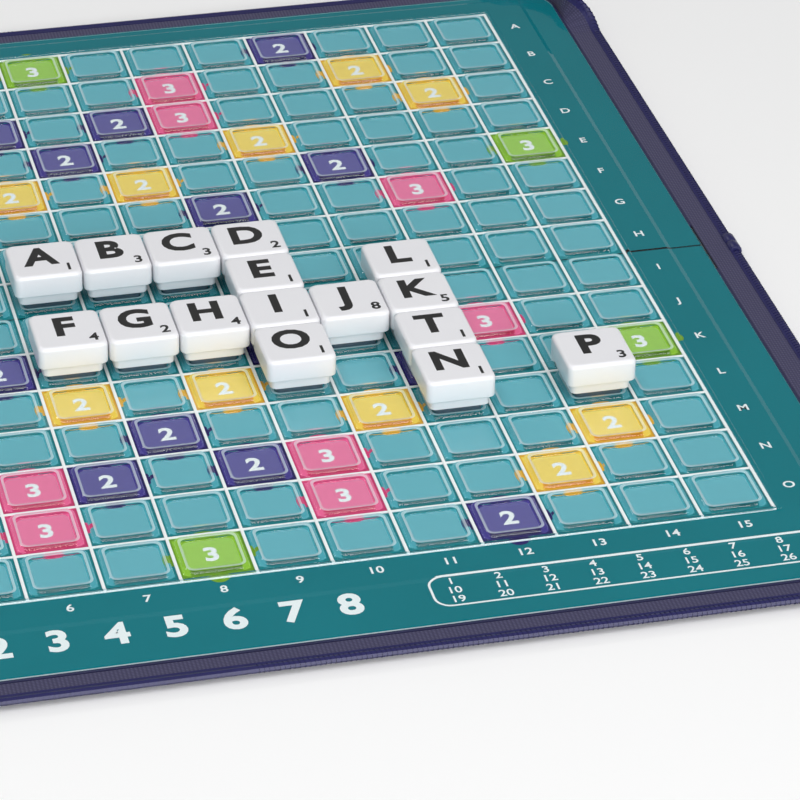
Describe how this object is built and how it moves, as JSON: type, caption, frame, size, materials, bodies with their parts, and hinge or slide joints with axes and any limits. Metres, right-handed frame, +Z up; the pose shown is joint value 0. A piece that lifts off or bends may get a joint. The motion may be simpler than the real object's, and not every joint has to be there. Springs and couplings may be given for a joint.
{
  "type": "travel word tile game case",
  "caption": "Open soft zip case with a folding board of clear dished squares that lock small lettered tiles in place.",
  "frame": {"origin": "on the table under the middle of the fold line, at the centre of the board's width", "axes": "+X along the rows to the right, +Y towards the back half, +Z up from the table"},
  "size_m": [0.2573, 0.2494, 0.0116],
  "materials": {
    "case_fabric": "coated woven polyester, semi-gloss",
    "zip_tape": "ribbed woven tape",
    "zip_coil": "satin",
    "stiffener_board": "matt",
    "printed_card": "printed, satin",
    "clear_plastic": "clear, polished",
    "slider_metal": "semi-gloss enamel",
    "tile_plastic": "moulded, semi-gloss"
  },
  "bodies": {
    "front_half": {"front_cover_skin": "case_fabric", "front_stiffener": "stiffener_board", "front_printed_card": "printed_card", "front_clear_tray": "clear_plastic", "front_corner_tapes": "zip_tape", "front_corner_coils": "zip_coil", "fold_spine": "case_fabric"},
    "back_half": {"back_cover_skin": "case_fabric", "back_stiffener": "stiffener_board", "back_printed_card": "printed_card", "back_clear_tray": "clear_plastic", "back_corner_tapes": "zip_tape", "back_corner_coils": "zip_coil"},
    "front_flap": {"front_zip_tape": "zip_tape", "front_zip_coil": "zip_coil"},
    "back_flap": {"back_zip_tape": "zip_tape", "back_zip_coil": "zip_coil"},
    "right_front_flap": {"right_front_zip_tape": "zip_tape", "right_front_zip_coil": "zip_coil"},
    "right_back_flap": {"right_back_zip_tape": "zip_tape", "right_back_zip_coil": "zip_coil"},
    "left_front_flap": {"left_front_zip_tape": "zip_tape", "left_front_zip_coil": "zip_coil"},
    "left_back_flap": {"left_back_zip_tape": "zip_tape", "left_back_zip_coil": "zip_coil"},
    "slider": {"slider_body": "slider_metal"},
    "pull": {"pull_tab": "slider_metal"},
    "tile_01": {"tile_01": "tile_plastic"},
    "tile_02": {"tile_02": "tile_plastic"},
    "tile_03": {"tile_03": "tile_plastic"},
    "tile_04": {"tile_04": "tile_plastic"},
    "tile_05": {"tile_05": "tile_plastic"},
    "tile_06": {"tile_06": "tile_plastic"},
    "tile_07": {"tile_07": "tile_plastic"},
    "tile_08": {"tile_08": "tile_plastic"},
    "tile_09": {"tile_09": "tile_plastic"},
    "tile_10": {"tile_10": "tile_plastic"},
    "tile_11": {"tile_11": "tile_plastic"},
    "tile_12": {"tile_12": "tile_plastic"},
    "tile_13": {"tile_13": "tile_plastic"},
    "tile_14": {"tile_14": "tile_plastic"},
    "tile_15": {"tile_15": "tile_plastic"},
    "tile_16": {"tile_16": "tile_plastic"}
  },
  "joints": [
    {"name": "fold", "type": "hinge", "parent": "front_half", "child": "back_half", "pos_m": [0, 0, 0.0126], "axis": [1, 0, 0], "range_deg": [0, 180], "deforming": ["fold_spine"]},
    {"name": "front_flap_turn", "type": "hinge", "parent": "front_half", "child": "front_flap", "pos_m": [0, -0.1197, 0.0019], "axis": [-1, 0, 0], "range_deg": [0, 90]},
    {"name": "back_flap_turn", "type": "hinge", "parent": "back_half", "child": "back_flap", "pos_m": [0, 0.1197, 0.0019], "axis": [1, 0, 0], "range_deg": [0, 90]},
    {"name": "right_front_flap_turn", "type": "hinge", "parent": "front_half", "child": "right_front_flap", "pos_m": [0.12045, -0.05, 0.0019], "axis": [0, -1, 0], "range_deg": [0, 90]},
    {"name": "right_back_flap_turn", "type": "hinge", "parent": "back_half", "child": "right_back_flap", "pos_m": [0.12045, 0.05, 0.0019], "axis": [0, -1, 0], "range_deg": [0, 90]},
    {"name": "left_front_flap_turn", "type": "hinge", "parent": "front_half", "child": "left_front_flap", "pos_m": [-0.12045, -0.05, 0.0019], "axis": [0, 1, 0], "range_deg": [0, 72]},
    {"name": "left_back_flap_turn", "type": "hinge", "parent": "back_half", "child": "left_back_flap", "pos_m": [-0.12045, 0.05, 0.0019], "axis": [0, 1, 0], "range_deg": [0, 72]},
    {"name": "slider_run", "type": "slide", "parent": "left_front_flap", "child": "slider", "axis": [0, -1, 0], "range_m": [0, 0.08]},
    {"name": "pull_swing", "type": "hinge", "parent": "slider", "child": "pull", "pos_m": [-0.12753, -0.01, 0.00147], "axis": [0.9511, 0, -0.309], "range_deg": [0, 175]},
    {"name": "tile_01_lift", "type": "slide", "parent": "back_half", "child": "tile_01", "axis": [0, 0, 1], "range_m": [0, 0.0078]},
    {"name": "tile_02_lift", "type": "slide", "parent": "back_half", "child": "tile_02", "axis": [0, 0, 1], "range_m": [0, 0.0078]},
    {"name": "tile_03_lift", "type": "slide", "parent": "back_half", "child": "tile_03", "axis": [0, 0, 1], "range_m": [0, 0.0078]},
    {"name": "tile_04_lift", "type": "slide", "parent": "back_half", "child": "tile_04", "axis": [0, 0, 1], "range_m": [0, 0.0009]},
    {"name": "tile_05_lift", "type": "slide", "parent": "front_half", "child": "tile_05", "axis": [0, 0, 1], "range_m": [0, 0.0009]},
    {"name": "tile_06_lift", "type": "slide", "parent": "front_half", "child": "tile_06", "axis": [0, 0, 1], "range_m": [0, 0.0078]},
    {"name": "tile_07_lift", "type": "slide", "parent": "front_half", "child": "tile_07", "axis": [0, 0, 1], "range_m": [0, 0.0078]},
    {"name": "tile_08_lift", "type": "slide", "parent": "front_half", "child": "tile_08", "axis": [0, 0, 1], "range_m": [0, 0.0078]},
    {"name": "tile_09_lift", "type": "slide", "parent": "front_half", "child": "tile_09", "axis": [0, 0, 1], "range_m": [0, 0.0078]},
    {"name": "tile_10_lift", "type": "slide", "parent": "front_half", "child": "tile_10", "axis": [0, 0, 1], "range_m": [0, 0.0078]},
    {"name": "tile_11_lift", "type": "slide", "parent": "front_half", "child": "tile_11", "axis": [0, 0, 1], "range_m": [0, 0.0078]},
    {"name": "tile_12_lift", "type": "slide", "parent": "front_half", "child": "tile_12", "axis": [0, 0, 1], "range_m": [0, 0.0078]},
    {"name": "tile_13_lift", "type": "slide", "parent": "front_half", "child": "tile_13", "axis": [0, 0, 1], "range_m": [0, 0.0078]},
    {"name": "tile_14_lift", "type": "slide", "parent": "front_half", "child": "tile_14", "axis": [0, 0, 1], "range_m": [0, 0.0078]},
    {"name": "tile_15_lift", "type": "slide", "parent": "front_half", "child": "tile_15", "axis": [0, 0, 1], "range_m": [0, 0.0078]},
    {"name": "tile_16_lift", "type": "slide", "parent": "front_half", "child": "tile_16", "axis": [0, 0, 1], "range_m": [0, 0.0078]}
  ],
  "couplings": [
    {"joint": "front_flap_turn", "follows": "fold", "ratio": 0.5},
    {"joint": "back_flap_turn", "follows": "fold", "ratio": 0.5},
    {"joint": "right_front_flap_turn", "follows": "fold", "ratio": 0.5},
    {"joint": "right_back_flap_turn", "follows": "fold", "ratio": 0.5},
    {"joint": "left_front_flap_turn", "follows": "fold", "ratio": 0.4},
    {"joint": "left_back_flap_turn", "follows": "fold", "ratio": 0.4}
  ]
}
